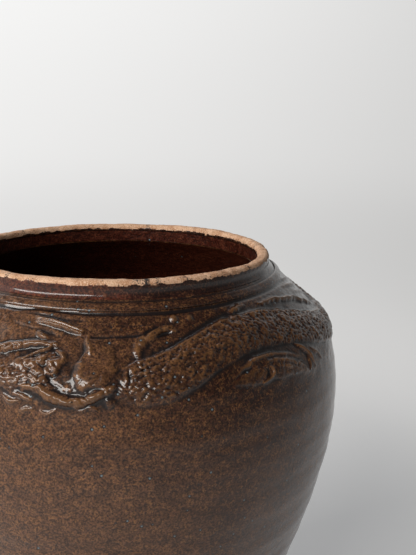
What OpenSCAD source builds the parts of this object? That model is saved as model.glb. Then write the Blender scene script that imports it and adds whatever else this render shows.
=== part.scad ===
// Martaban storage jar: a thrown and coiled stoneware jar with a bare clay lip,
// and two dragons in applied clay chasing each other round the shoulder.
// The foot stands on z = 0, the axis is Z, and the front of the jar faces -Y.

/* [Jar] */
// Height from the foot to the crest of the lip
height = 336; // [320:1:380]
// Radius of the foot
foot_r = 80; // [70:1:92]
// Radius at the widest point
belly_r = 153.7; // [149:0.1:165]
// Depth of the widest point below the lip
belly_drop = 94.5; // [85:0.5:110]
// Roundness of the side where it turns down to the foot
taper_round = 78; // [50:1:120]
// Width of the flat bevel round the foot
foot_bevel = 2; // [1:0.5:4]

/* [Shoulder] */
// Radius where the side turns into the shoulder
turn_r = 146.5; // [140:0.5:149]
// Depth of that turn below the lip
turn_drop = 48; // [42:0.5:58]
// Softness of the turn
turn_round = 2; // [1:0.5:5]

/* [Neck and lip] */
// Outer radius of the neck and lip
neck_r = 105; // [98:0.5:112]
// Depth of the neck's root below the lip
neck_h = 11; // [9:0.5:16]
// Height of the bare clay lip
lip_h = 5; // [3:0.5:6]
// Thickness of the lip and neck
lip_t = 8; // [6:0.5:10]
// Squareness of the lip's rounding, where 2 is a plain ellipse
lip_square = 2.5; // [2:0.1:4]
// How far the fillet at the neck's root stands out
root_step = 2; // [1:0.5:4]

/* [Walls] */
// Thickness of the thrown walls
wall_t = 9; // [7:0.5:12]
// Thickness of the floor
floor_t = 12; // [8:0.5:18]
// Height of the luted seam between the lower and the belly wall
seam_z = 208; // [150:1:225]
// Height that the bevel of a luted joint climbs through the wall
joint_bevel = 5; // [2:0.5:8]
// Slip between the wall and each applied piece
slip_gap = 0.15; // [0.1:0.05:0.3]

/* [Ornament] */
// Width of the cordon under the neck
cordon_w = 6; // [4:0.5:8]
// Height of the cordon
cordon_h = 1.3; // [0.8:0.1:2.5]
// Distance from the neck's root to the middle of the cordon
cordon_down = 5; // [4.5:0.5:7]
// Width of the band that the dragons fill, measured down the wall
band_w = 72; // [66:1:78]
// Height of the applied relief, as a share of the modelled one
relief = 1; // [0.7:0.05:1.3]
// Thickness of the thinned edge of each applied piece
edge_t = 0.4; // [0.35:0.05:0.6]
// Angle from one dragon to the next
dragon_turn = 180; // [176:1:184]

/* [Hidden] */
DRAGONS = ["front", "rear"];
PIECES = [
    "head", "brow", "horns", "ear", "jaw", "mane", "body",
    "back_fin", "foreleg", "haunch", "hind_claws", "tail", "pearl",
];

round_fn = 144;
glaze_dark = [0.20, 0.10, 0.06];
glaze_light = [0.30, 0.17, 0.09];
clay = [0.80, 0.58, 0.41];

// Levels that follow from the driving sizes
belly_z = height - belly_drop;
turn_z = height - turn_drop;
neck_z = height - neck_h;
lip_z = height - lip_h;
root_r = neck_r + root_step;
throat_r = neck_r - lip_t;
shoulder_slope = (turn_r - root_r) / (neck_z - turn_z);

// Outer radius of the wall: a side that tapers to the foot, cut by a straight sloping shoulder
function taper(u) = norm([u, taper_round]) - taper_round;
function side_r(z) = z < belly_z
    ? belly_r - (belly_r - foot_r) * taper(belly_z - z) / taper(belly_z)
    : belly_r - (belly_r - turn_r) * pow(min(1, (z - belly_z) / (turn_z - belly_z)), 2);
function slope_r(z) = root_r + shoulder_slope * (neck_z - z);
function wall_r(z) = let (a = side_r(z), b = slope_r(z)) (a + b) / 2 - norm([(a - b) / 2, turn_round]);
function wall_lean(z) = wall_r(z + 0.5) - wall_r(z - 0.5);
function inner_r(z) = wall_r(z) - wall_t * norm([1, wall_lean(z)]);

// Height at which the inside of the shoulder meets the throat
throat_z = neck_z - (throat_r + wall_t * norm([1, shoulder_slope]) - root_r) / shoulder_slope;

// Distance down the outside of the wall, paired with height. The neck's root lies at root_s.
root_s = root_step * 1.5;
band_depth = band_w * 1.25;
line_step = 1.5;
function step_length(z) = norm([line_step, wall_r(z - line_step) - wall_r(z)]);
wall_line = [
    for (z = neck_z, s = root_s; z > neck_z - band_depth; s = s + step_length(z), z = z - line_step) [s, z]
];

// A point h above the wall, at an angle from the front towards +X and a distance s down the wall
function on_wall(angle, s, h) =
    let (
        z = lookup(s, wall_line),
        out = [1, -wall_lean(z)] / norm([1, wall_lean(z)]),
        r = wall_r(z) + h * out[0]
    )
    [r * sin(angle), -r * cos(angle), z + h * out[1]];

function levels(from, to, step) =
    let (count = max(1, ceil(abs(to - from) / step)))
    [for (i = [0:count]) from + (to - from) * i / count];

// A ring of the wall between two joints, each given as its outer and its inner height
module wall_ring(low, high, step) {
    outside = [for (z = levels(low[0], high[0], step)) [wall_r(z), z]];
    inside = [for (z = levels(high[1], low[1], step)) [z >= throat_z ? throat_r : inner_r(z), z]];
    rotate_extrude($fn = round_fn) polygon(concat(outside, inside));
}

floor_joint = [floor_t, floor_t];
seam_joint = [seam_z, seam_z + joint_bevel];
turn_joint = [turn_z - joint_bevel, turn_z];
neck_joint = [neck_z, throat_z];

// The floor, beaten out as a flat disc
module base_disc() {
    color(clay) rotate_extrude($fn = round_fn)
        polygon([
            [0, 0], [wall_r(0) - foot_bevel, 0], [wall_r(foot_bevel), foot_bevel],
            [wall_r(floor_t), floor_t], [0, floor_t],
        ]);
}

module lower_wall() {
    color(glaze_dark) wall_ring(floor_joint, seam_joint, 10);
}

module belly_wall() {
    color(glaze_light) wall_ring(seam_joint, turn_joint, 6);
}

module shoulder_wall() {
    color(glaze_dark) wall_ring(turn_joint, neck_joint, 2.5);
}

// The neck, thrown on top of the shoulder, with its fillet outside and a true round throat inside
module neck_collar() {
    fillet_top = neck_z + (lip_z - neck_z) * 0.6;
    start_r = wall_r(neck_z);
    outside = [
        for (z = levels(neck_z, fillet_top, 0.6))
            [neck_r + (start_r - neck_r) * pow((fillet_top - z) / (fillet_top - neck_z), 2), z]
    ];
    color(glaze_dark) rotate_extrude($fn = round_fn)
        polygon(concat(outside, [[neck_r, lip_z], [throat_r, lip_z], [throat_r, throat_z]]));
}

// The lip, a coil left bare of glaze
module rim_coil() {
    middle = (neck_r + throat_r) / 2;
    color(clay) rotate_extrude($fn = round_fn)
        polygon([
            for (a = [0:10:180])
                [
                    middle + lip_t / 2 * sign(cos(a)) * pow(abs(cos(a)), 2 / lip_square),
                    lip_z + lip_h * pow(sin(a), 2 / lip_square),
                ]
        ]);
}

// The raised cordon round the shoulder, right under the neck
module shoulder_cordon() {
    middle = root_s + cordon_down;
    edges = levels(-1, 1, 0.25);
    function place(v, h) = let (p = on_wall(90, middle + v * cordon_w / 2, h)) [p[0], p[2]];
    color(glaze_light) rotate_extrude($fn = round_fn)
        polygon(concat(
            [for (v = edges) place(v, edge_t + (cordon_h - edge_t) * sqrt(1 - v * v))],
            [for (v = levels(1, -1, 0.5)) place(v, slip_gap)]
        ));
}

// A point between p1 and p2 on a smooth curve through p0, p1, p2 and p3
function curve_point(p0, p1, p2, p3, t) =
    0.5 * (2 * p1 + (p2 - p0) * t + (2 * p0 - 5 * p1 + 4 * p2 - p3) * t * t
    + (3 * p1 - p0 - 3 * p2 + p3) * t * t * t);
function smooth(points, parts) =
    let (last = len(points) - 1)
    concat(
        [
            for (i = [0:last - 1], k = [0:parts - 1])
                curve_point(
                    points[max(i - 1, 0)], points[i], points[i + 1], points[min(i + 2, last)], k / parts
                )
        ],
        [points[last]]
    );

// One ring of an applied strip. At is its angle, distance down the wall, half width and height.
function strip_ring(at, ahead, crown, backs) =
    let (
        r = wall_r(lookup(at[1], wall_line)),
        along = [(ahead[0] * r * PI / 180), ahead[1]],
        side = [-along[1], along[0]] / norm(along),
        rise = max(relief * at[3], edge_t + 0.1)
    )
    concat(
        [
            for (v = levels(-1, 1, 2 / crown))
                on_wall(
                    at[0] + side[0] * v * at[2] / r * 180 / PI, at[1] + side[1] * v * at[2],
                    edge_t + (rise - edge_t) * sqrt(max(0, 1 - v * v))
                )
        ],
        [
            for (v = levels(1, -1, 2 / backs))
                on_wall(at[0] + side[0] * v * at[2] / r * 180 / PI, at[1] + side[1] * v * at[2], slip_gap)
        ]
    );

// The dragon's points below are drawn for a band this wide
drawn_w = 72;
band_share = band_w / drawn_w;

// A strip of clay pressed on the wall along points of [angle, distance down, half width, height]
module strip(points, parts = 3, crown = 6, backs = 2) {
    path = smooth([for (p = points) [p[0], p[1] * band_share, p[2] * band_share, p[3] * band_share]], parts);
    last = len(path) - 1;
    rings = [
        for (i = [0:last]) strip_ring(path[i], path[min(i + 1, last)] - path[max(i - 1, 0)], crown, backs)
    ];
    size = len(rings[0]);
    sides = [
        for (i = [0:last - 1], k = [0:size - 1])
            let (a = i * size + k, b = i * size + (k + 1) % size)
            each [[a, b, b + size], [a, b + size, a + size]]
    ];
    start = [for (k = [1:size - 2]) [0, k + 1, k]];
    end = [for (k = [1:size - 2]) [last * size, last * size + k, last * size + k + 1]];
    polyhedron([for (ring = rings) each ring], concat(sides, start, end));
}

// A round button of clay
module boss(angle, s, radius, rise) {
    reach = radius * band_share / wall_r(lookup(s * band_share, wall_line)) * 180 / PI;
    strip([
        [angle - reach * 0.9, s, radius * 0.4, rise * 0.5],
        [angle - reach * 0.47, s, radius * 0.87, rise * 0.9],
        [angle, s, radius, rise],
        [angle + reach * 0.47, s, radius * 0.87, rise * 0.9],
        [angle + reach * 0.9, s, radius * 0.4, rise * 0.5],
    ], parts = 2);
}

// The pieces of one dragon. Each strip is hand placed: angle, distance down, half width and height.
module head() {
    // Snout and skull
    strip([
        [-29, 51, 2, 1], [-25.5, 50, 6, 2.4], [-21, 50.5, 6.5, 3.2], [-16.5, 52, 6, 3], [-12.5, 52, 5, 2.4],
        [-10, 50, 2, 1.4],
    ], crown = 8, backs = 4);
    // Cheek, a smooth swelling behind the mouth
    strip([
        [-0.8, 29, 1, 0.8], [0.2, 34, 4.5, 1.6], [1.2, 41, 8.5, 2.2], [1, 48, 9.5, 2.3], [-0.5, 54.5, 7, 2],
        [-1.5, 59, 2, 1],
    ], crown = 8, backs = 4);
}

module brow() {
    strip([
        [-26, 43.5, 1, 0.8], [-23.2, 40.5, 2.6, 2.8], [-20, 37.3, 2.2, 2.4], [-16.5, 34.2, 1.7, 2],
        [-12.5, 32.8, 1.4, 1.8], [-8.8, 33, 0.8, 0.8],
    ]);
}

module horns() {
    strip([[-17.5, 16, 0.7, 0.8], [-13, 17.6, 1.2, 1.8], [-8, 20.4, 1.2, 1.9], [-3, 24, 0.8, 1]]);
    strip([[-16.5, 19.2, 0.7, 0.8], [-12, 21, 1.1, 1.6], [-7.5, 23.8, 1.1, 1.7], [-3.8, 26.8, 0.7, 0.9]]);
    boss(-13.5, 28, 2, 1.8);
}

module ear() {
    strip([
        [-9.8, 35.5, 0.6, 0.8], [-12, 37.6, 1.6, 1.8], [-14.6, 40, 2.2, 2], [-17.4, 43.2, 1.3, 1.6],
        [-19.8, 44, 0.5, 0.6],
    ]);
}

module jaw() {
    strip([
        [-17, 60.3, 0.8, 1], [-12.5, 60, 2, 2.2], [-8.5, 64, 2.2, 2.5], [-3.5, 66.5, 2.1, 2.4], [1, 63.7, 2.1, 2.4],
        [4.8, 58.5, 1.6, 1.8], [6.6, 54, 0.7, 0.8],
    ]);
}

// Curled locks between the brow and the cheek, and a row of them under the jaw
module mane() {
    strip([[-8.2, 37.5, 0.8, 1], [-6.6, 39.6, 1.9, 2.2], [-6.4, 43.4, 1.6, 1.8], [-8, 45.4, 0.7, 0.8]]);
    strip([[-10.6, 42, 0.8, 1], [-9, 44.4, 1.6, 2], [-9.6, 47, 0.6, 0.8]]);
    for (lock = [[-18, 66], [-13.6, 69.6], [-8.6, 71.4]])
        strip([
            [lock[0] - 2, lock[1] + 0.8, 0.6, 0.7], [lock[0], lock[1] - 0.6, 1.3, 1.3],
            [lock[0] + 2, lock[1] + 0.8, 0.6, 0.7],
        ]);
    boss(4.6, 65.6, 2.1, 1.4);
}

// The scaled body, arching over the shoulder and down again
module body() {
    strip([
        [8.6, 57, 3, 1.2], [11.5, 56, 9, 2.2], [16, 53.6, 12, 2.7], [22, 47, 12.8, 2.9], [28, 40.8, 12.8, 3],
        [35, 35.6, 12.8, 3], [44, 33, 12.8, 3], [53, 35.2, 12.8, 3], [62, 41, 12.8, 3], [71, 48, 12.4, 3],
        [80, 53.6, 11.8, 2.9], [90, 55.4, 11, 2.8], [99, 51, 10, 2.7], [107, 43.4, 9, 2.6], [115, 38.4, 7.8, 2.4],
        [119, 37.4, 6.6, 2],
    ], crown = 8, backs = 6);
}

module back_fin() {
    strip([
        [53, 16.6, 0.7, 0.8], [58, 17.6, 1.4, 1.8], [64, 19.6, 1.8, 2.4], [71, 24, 2, 2.6], [78, 31, 1.9, 2.4],
        [84, 37.4, 1.3, 1.6], [88, 40.2, 0.6, 0.8],
    ]);
    boss(41.4, 16.4, 1.7, 1.6);
}

// The raised foreleg and its claws
module foreleg() {
    strip([
        [11.4, 40.6, 0.9, 1], [10.8, 35.6, 2.2, 1.8], [12.4, 30.4, 2.6, 2], [15.2, 26.4, 2.4, 1.9],
        [18.8, 25.6, 1.4, 1.5], [20.8, 27.6, 0.6, 0.8],
    ]);
    boss(21.8, 18, 2.2, 2);
    boss(26.4, 17.6, 1.8, 1.6);
}

// The haunch under the arch of the body, and the leg that trails from it
module haunch() {
    strip([
        [33, 64.4, 1, 0.8], [35.6, 60.6, 3, 1.6], [39.6, 57.2, 4.4, 2], [44.4, 56, 4.6, 2], [49, 58.6, 3.6, 1.8],
        [53, 63.6, 2.4, 1.5], [56, 69, 0.9, 0.8],
    ], crown = 8, backs = 4);
}

module hind_claws() {
    strip([[56.6, 53, 0.6, 0.8], [58.4, 57.4, 1.5, 2], [60.2, 63.4, 1.5, 2], [61.4, 70, 0.6, 0.8]]);
    strip([[60.6, 56.6, 0.6, 0.7], [63.4, 61.6, 1.2, 1.5], [65.6, 67, 0.6, 0.7]]);
    strip([[43.6, 63.2, 0.5, 0.7], [44, 66, 1.1, 1.4], [41.6, 68.8, 0.9, 1.2], [39, 70, 0.5, 0.6]]);
}

// The tail, which curls over behind the next dragon's pearl
module tail() {
    strip([
        [119.25, 37.45, 6.2, 2], [124, 38.8, 4.6, 2], [128.4, 43, 3.6, 1.9], [130.2, 49.4, 2.8, 1.8],
        [127.6, 55, 2.2, 1.6], [122.6, 57.6, 1.6, 1.3], [117.6, 57.2, 0.6, 0.7],
    ]);
    strip([[130.4, 37.6, 0.7, 0.8], [134, 34.2, 1.5, 1.5], [136.2, 29, 0.6, 0.7]]);
}

// The flaming pearl that each dragon chases
module pearl() {
    boss(-37, 45, 5, 2.8);
    strip([[-35, 38.4, 0.7, 0.8], [-35.6, 34.2, 1.6, 1.7], [-33.2, 29.6, 0.6, 0.7]]);
    strip([[-38.4, 38, 0.7, 0.8], [-39.6, 32.8, 1.7, 1.8], [-37.4, 26, 0.6, 0.7]]);
    strip([[-41, 40.4, 0.7, 0.8], [-43.4, 36.4, 1.5, 1.6], [-43, 31, 0.6, 0.7]]);
}

module dragon_piece(dragon, piece) {
    turn = dragon == "front" ? 0 : dragon_turn;
    color(piece == "body" || piece == "tail" ? glaze_light : glaze_dark) rotate([0, 0, turn]) {
        if (piece == "head") head();
        if (piece == "brow") brow();
        if (piece == "horns") horns();
        if (piece == "ear") ear();
        if (piece == "jaw") jaw();
        if (piece == "mane") mane();
        if (piece == "body") body();
        if (piece == "back_fin") back_fin();
        if (piece == "foreleg") foreleg();
        if (piece == "haunch") haunch();
        if (piece == "hind_claws") hind_claws();
        if (piece == "tail") tail();
        if (piece == "pearl") pearl();
    }
}

base_disc();
lower_wall();
belly_wall();
shoulder_wall();
neck_collar();
rim_coil();
shoulder_cordon();
for (dragon = DRAGONS, piece = PIECES)
    dragon_piece(dragon, piece);
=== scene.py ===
"""The looks of a martaban storage jar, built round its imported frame. Lengths here are in millimetres."""

import bpy
import numpy as np
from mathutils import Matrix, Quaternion, Vector


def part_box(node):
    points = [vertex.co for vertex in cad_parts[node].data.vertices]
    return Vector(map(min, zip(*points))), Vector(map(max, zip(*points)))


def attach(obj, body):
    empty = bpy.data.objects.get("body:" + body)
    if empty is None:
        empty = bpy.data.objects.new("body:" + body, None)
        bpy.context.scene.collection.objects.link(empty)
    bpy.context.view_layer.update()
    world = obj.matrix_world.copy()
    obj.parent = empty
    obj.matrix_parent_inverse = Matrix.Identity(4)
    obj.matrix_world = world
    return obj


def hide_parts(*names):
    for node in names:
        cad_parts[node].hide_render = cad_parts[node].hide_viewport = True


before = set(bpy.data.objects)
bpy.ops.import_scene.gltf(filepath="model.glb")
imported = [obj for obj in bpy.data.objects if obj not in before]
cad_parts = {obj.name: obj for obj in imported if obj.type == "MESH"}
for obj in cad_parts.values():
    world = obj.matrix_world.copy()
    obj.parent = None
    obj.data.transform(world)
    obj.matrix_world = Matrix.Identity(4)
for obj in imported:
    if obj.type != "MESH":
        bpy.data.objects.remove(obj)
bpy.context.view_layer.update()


# Floor of the jar
# A disc of stoneware clay beaten flat on the wheel head, which the walls are then built up from.
# It stays bare and is slightly hollow underneath, so that the jar stands on its outer edge.
MM = 0.001
foot_radius, belly_radius, turn_radius, root_radius = 80.0, 153.7, 146.5, 107.0
belly_height, turn_height = 241.5, 288.0
taper_round, turn_round = 78.0, 2.0
wall_thickness = 9.0
foot_bevel = 2.0
floor_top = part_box("lower_wall")[0].z / MM
root_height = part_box("shoulder_wall")[1].z / MM


def taper(below):
    return np.hypot(below, taper_round) - taper_round


def side_radius(height):
    low = belly_radius - (belly_radius - foot_radius) * taper(belly_height - height) / taper(belly_height)
    share = np.minimum(1, (height - belly_height) / (turn_height - belly_height))
    return np.where(height < belly_height, low, belly_radius - (belly_radius - turn_radius) * share ** 2)


def wall_radius(height):
    """Outer radius of the wall: the tapering side, cut by the straight sloping shoulder."""
    side = side_radius(height)
    slope = root_radius + (turn_radius - root_radius) * (root_height - height) / (root_height - turn_height)
    return (side + slope) / 2 - np.hypot((side - slope) / 2, turn_round)


def wall_lean(height):
    return wall_radius(height + 0.5) - wall_radius(height - 0.5)


def wall_point(angle, height, out):
    """Points on the outside of the wall, moved out by a distance along its normal. Angle 0 is the front."""
    lean = wall_lean(height)
    reach = np.hypot(1, lean)
    radius = wall_radius(height) + out / reach
    turn = np.radians(angle)
    return np.stack(np.broadcast_arrays(
        radius * np.sin(turn), -radius * np.cos(turn), height - out * lean / reach), -1)


def clay_noise(angle, height, cell, seed):
    """Soft unevenness round the jar, from -1 to 1, in lumps of about one cell."""
    random = np.random.default_rng(seed)
    turns = max(3, round(820 / cell))
    grid = random.uniform(-1, 1, (int(400 / cell) + 4, turns))
    x = (angle % 360) / 360 * turns
    y = np.clip(height, -10, 380) / cell + 1
    column, row = np.floor(x).astype(int), np.floor(y).astype(int)
    fx, fy = x - column, y - row
    fx, fy = fx * fx * (3 - 2 * fx), fy * fy * (3 - 2 * fy)
    column, after = column % turns, (column + 1) % turns
    low = grid[row, column] * (1 - fx) + grid[row, after] * fx
    high = grid[row + 1, column] * (1 - fx) + grid[row + 1, after] * fx
    return low * (1 - fy) + high * fy


def new_piece(name, points, quads, corner_normals, node, finishes, finish_of_face=None):
    """A closed piece from points in millimetres, which rides on the jar in place of its plain node."""
    mesh = bpy.data.meshes.new(name)
    mesh.vertices.add(len(points))
    mesh.vertices.foreach_set("co", (points * MM).astype(np.float32).ravel())
    mesh.loops.add(quads.size)
    mesh.loops.foreach_set("vertex_index", quads.astype(np.int32).ravel())
    mesh.polygons.add(len(quads))
    mesh.polygons.foreach_set("loop_start", np.arange(0, quads.size, 4, dtype=np.int32))
    for finish in finishes:
        mesh.materials.append(finish)
    if finish_of_face is not None:
        mesh.polygons.foreach_set("material_index", finish_of_face.astype(np.int32))
    mesh.update(calc_edges=True)
    mesh.polygons.foreach_set("use_smooth", np.ones(len(quads), bool))
    if corner_normals is not None:
        mesh.normals_split_custom_set(corner_normals.astype(np.float32))
    piece = bpy.data.objects.new(name, mesh)
    bpy.context.scene.collection.objects.link(piece)
    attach(piece, "root")
    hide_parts(node)
    return piece


def skin_normals(skin):
    """Outward normals of a skin of points, which has one spare row at each end."""
    round_it = np.roll(skin, -1, 1) - np.roll(skin, 1, 1)
    normals = np.cross(round_it[1:-1], skin[2:] - skin[:-2])
    return normals / np.maximum(np.linalg.norm(normals, axis=-1, keepdims=True), 1e-9)


def ring_corners(skins, quads):
    """Corner normals of a ring's faces: smooth along each skin and flat at the joints between skins."""
    points = np.concatenate([skin[1:-1] for skin in skins]).reshape(-1, 3)
    normals = np.concatenate([skin_normals(skin) for skin in skins]).reshape(-1, 3)[quads]
    turns = skins[0].shape[1]
    for end in np.cumsum([len(skin) - 2 for skin in skins]) - 1:
        joint = slice(end * turns, (end + 1) * turns)
        normals[joint] = flat_normals(points[quads[joint]])
    return points, normals.reshape(-1, 3)


def flat_normals(corners):
    flat = np.cross(corners[:, 2] - corners[:, 0], corners[:, 3] - corners[:, 1])
    return (flat / np.maximum(np.linalg.norm(flat, axis=1, keepdims=True), 1e-9))[:, None]


def ring_piece(name, skins, node, finishes):
    """A closed ring out of skins that go round it one after the other, each with its own finish."""
    sizes = [len(skin) - 2 for skin in skins]
    at = np.arange(sum(sizes) * skins[0].shape[1]).reshape(sum(sizes), -1)
    right, above = np.roll(at, -1, 1), np.roll(at, -1, 0)
    quads = np.stack([c.ravel() for c in (at, right, np.roll(right, -1, 0), above)], 1)
    points, corner_normals = ring_corners(skins, quads)
    finish_of_row = np.minimum(np.repeat(range(len(skins)), sizes), len(finishes) - 1)
    finish_of_face = np.repeat(finish_of_row, at.shape[1])
    return new_piece(name, points, quads, corner_normals, node, finishes, finish_of_face)


def link(tree, output, socket):
    tree.links.new(output, socket)


def node_of(tree, kind, **settings):
    """A node with its settings. A setting that names an input goes to that socket."""
    made = tree.nodes.new(kind)
    for key, value in settings.items():
        if hasattr(made, key):
            setattr(made, key, value)
        else:
            made.inputs[key.replace("_", " ")].default_value = value
    return made


def new_finish(name):
    finish = bpy.data.materials.new(name)
    finish.use_nodes = True
    tree = finish.node_tree
    surface = tree.nodes["Principled BSDF"]
    place = tree.nodes.new("ShaderNodeTexCoord").outputs["Object"]
    return finish, tree, surface, place


def patches(tree, place, size, stretch=(1, 1, 1), detail=2.0, rough=0.5):
    """Cloudy variation with lumps of about size millimetres."""
    scaled = node_of(tree, "ShaderNodeVectorMath", operation="MULTIPLY")
    scaled.inputs[1].default_value = stretch
    link(tree, place, scaled.inputs[0])
    noise = node_of(tree, "ShaderNodeTexNoise", Scale=1 / (size * MM), Detail=detail, Roughness=rough)
    link(tree, scaled.outputs[0], noise.inputs["Vector"])
    return noise.outputs["Fac"]


def ramp(tree, value, low, high, to_low=0.0, to_high=1.0):
    """Value spread over a range, smooth at both ends."""
    spread = node_of(tree, "ShaderNodeMapRange", interpolation_type="SMOOTHSTEP")
    for socket, number in (("From Min", low), ("From Max", high), ("To Min", to_low), ("To Max", to_high)):
        spread.inputs[socket].default_value = number
    link(tree, value, spread.inputs["Value"])
    return spread.outputs["Result"]


def blended(tree, share, first, second, kind="MIX"):
    """Two colours mixed by a share. Either one is a colour or another node's output."""
    mix = node_of(tree, "ShaderNodeMix", data_type="RGBA", blend_type=kind)
    for socket, colour in ((6, first), (7, second)):
        if isinstance(colour, tuple):
            mix.inputs[socket].default_value = (*colour, 1)
        else:
            link(tree, colour, mix.inputs[socket])
    if isinstance(share, (int, float)):
        mix.inputs[0].default_value = share
    else:
        link(tree, share, mix.inputs[0])
    return mix.outputs[2]


def reckon(tree, operation, first, second):
    """One sum on two values or node outputs."""
    made = node_of(tree, "ShaderNodeMath", operation=operation)
    for socket, value in zip(made.inputs, (first, second)):
        if isinstance(value, (int, float)):
            socket.default_value = value
        else:
            link(tree, value, socket)
    return made.outputs[0]


def specks(tree, place, spacing, size, share, seed):
    """Round specks of about size millimetres, in some of the cells of a loose net."""
    moved = node_of(tree, "ShaderNodeVectorMath", operation="ADD")
    moved.inputs[1].default_value = (seed, seed * 0.7, seed * 0.3)
    link(tree, place, moved.inputs[0])
    cells = node_of(tree, "ShaderNodeTexVoronoi", Scale=1 / (spacing * MM))
    link(tree, moved.outputs[0], cells.inputs["Vector"])
    dot = ramp(tree, cells.outputs["Distance"], size / spacing * 0.35, size / spacing * 0.6, 1, 0)
    chosen = node_of(tree, "ShaderNodeSeparateColor")
    link(tree, cells.outputs["Color"], chosen.inputs[0])
    return reckon(tree, "MULTIPLY", dot, ramp(tree, chosen.outputs[0], 1 - share - 0.02, 1 - share + 0.02))


def bumped(tree, surface, layers):
    """Fine relief from several height layers, each a value and its depth in millimetres."""
    below = None
    for value, depth in layers:
        bump = node_of(tree, "ShaderNodeBump", Distance=depth * MM)
        link(tree, value, bump.inputs["Height"])
        if below is not None:
            link(tree, below, bump.inputs["Normal"])
        below = bump.outputs["Normal"]
    link(tree, below, surface.inputs["Normal"])


def lines_of(tree, noise, width):
    """Thin winding lines: where a noise passes through its middle value."""
    return ramp(tree, reckon(tree, "ABSOLUTE", reckon(tree, "SUBTRACT", noise, 0.5), 0.0), 0.0, width, 1, 0)


bare_clay, tree, surface, place = new_finish("fired_bare_clay")
cloud = patches(tree, place, 9, detail=4)
grain = patches(tree, place, 0.8, detail=3, rough=0.7)
tan = blended(tree, ramp(tree, cloud, 0.38, 0.62), (0.46, 0.23, 0.12), (0.66, 0.40, 0.25))
tan = blended(tree, ramp(tree, grain, 0.45, 0.7), tan, (0.76, 0.55, 0.39))
tan = blended(tree, ramp(tree, grain, 0.46, 0.30, 0, 0.75), tan, (0.16, 0.075, 0.04))
dark_specks = reckon(tree, "MULTIPLY", specks(tree, place, 2.2, 0.9, 0.4, 3), 0.8)
tan = blended(tree, dark_specks, tan, (0.06, 0.03, 0.02))
scorch = node_of(tree, "ShaderNodeAttribute", attribute_name="scorch").outputs["Fac"]
burnt = ramp(tree, reckon(tree, "ADD", scorch, patches(tree, place, 1.0, detail=3, rough=0.7)), 0.93, 1.05)
tan = blended(tree, burnt, tan, (0.022, 0.020, 0.020))
link(tree, tan, surface.inputs["Base Color"])
surface.inputs["Roughness"].default_value = 0.82
surface.inputs["Specular IOR Level"].default_value = 0.3
bumped(tree, surface, [(grain, 0.25), (patches(tree, place, 3), 0.3)])

turns = 360
angles = np.arange(turns) * 360 / turns
across = np.arange(1, 79, 3)
under = np.array([[r, 0.35 * np.cos(min(r / 72, 1) * np.pi) + 0.35] for r in across])
rim = [[wall_radius(0) - foot_bevel, 0], [wall_radius(0) - foot_bevel * 0.5, 0.5],
       [wall_radius(foot_bevel), foot_bevel]]
rim += [[wall_radius(z), z] for z in np.linspace(4, floor_top, 5)]
over = [[r, floor_top] for r in across[::-1]]
outline = np.concatenate([under, rim, over])
turn = np.radians(angles)
rows = np.stack([outline[:, :1] * np.sin(turn), -outline[:, :1] * np.cos(turn),
                 np.repeat(outline[:, 1:], turns, 1)], -1)
at = np.arange(len(outline) * turns).reshape(len(outline), turns)
corners = [at[:-1], np.roll(at, -1, 1)[:-1], np.roll(at, -1, 1)[1:], at[1:]]
quads = np.stack([c.ravel() for c in corners], 1)
middles = np.array([[0, 0, outline[0, 1]], [0, 0, outline[-1, 1]]])
first = np.arange(0, turns, 2)
for ring, middle, way in ((at[0], at.size, -1), (at[-1], at.size + 1, 1)):
    fan = np.stack([ring[first], ring[first + 1], ring[(first + 2) % turns]][::way], 1)
    quads = np.vstack([quads, np.c_[np.full(len(fan), middle), fan]])
base_disc = new_piece("floor_disc", np.vstack([rows.reshape(-1, 3), middles]), quads, None,
                      "base_disc", [bare_clay])
base_disc.data.set_sharp_from_angle(angle=0.6)


# Lower and belly walls
# Two thrown sections of the same clay, luted together with slip where the jar is about 300 mm wide.
# The potter's fingers left soft rings in both, and a thin brown glaze with small pits covers them.
seam_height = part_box("belly_wall")[0].z / MM
shoulder_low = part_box("shoulder_wall")[0].z / MM
joint_climb = 5.0


def unevenness(angle, height):
    """How far the thrown wall stands proud of its true form: slow dents, finger rings and fine ripples."""
    drift = clay_noise(angle, height, 40, 11)
    rings = 0.10 * np.sin(height / 1.9 + 1.4 * drift) + 0.16 * np.sin(height / 4.4 + 2 * drift)
    dents = 0.45 * clay_noise(angle, height, 62, 12) + 0.16 * clay_noise(angle, height, 17, 13)
    rings *= 0.75 + 0.5 * clay_noise(angle, height, 55, 14)
    return dents + rings + 0.05 * clay_noise(angle, height, 5, 15)


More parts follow.
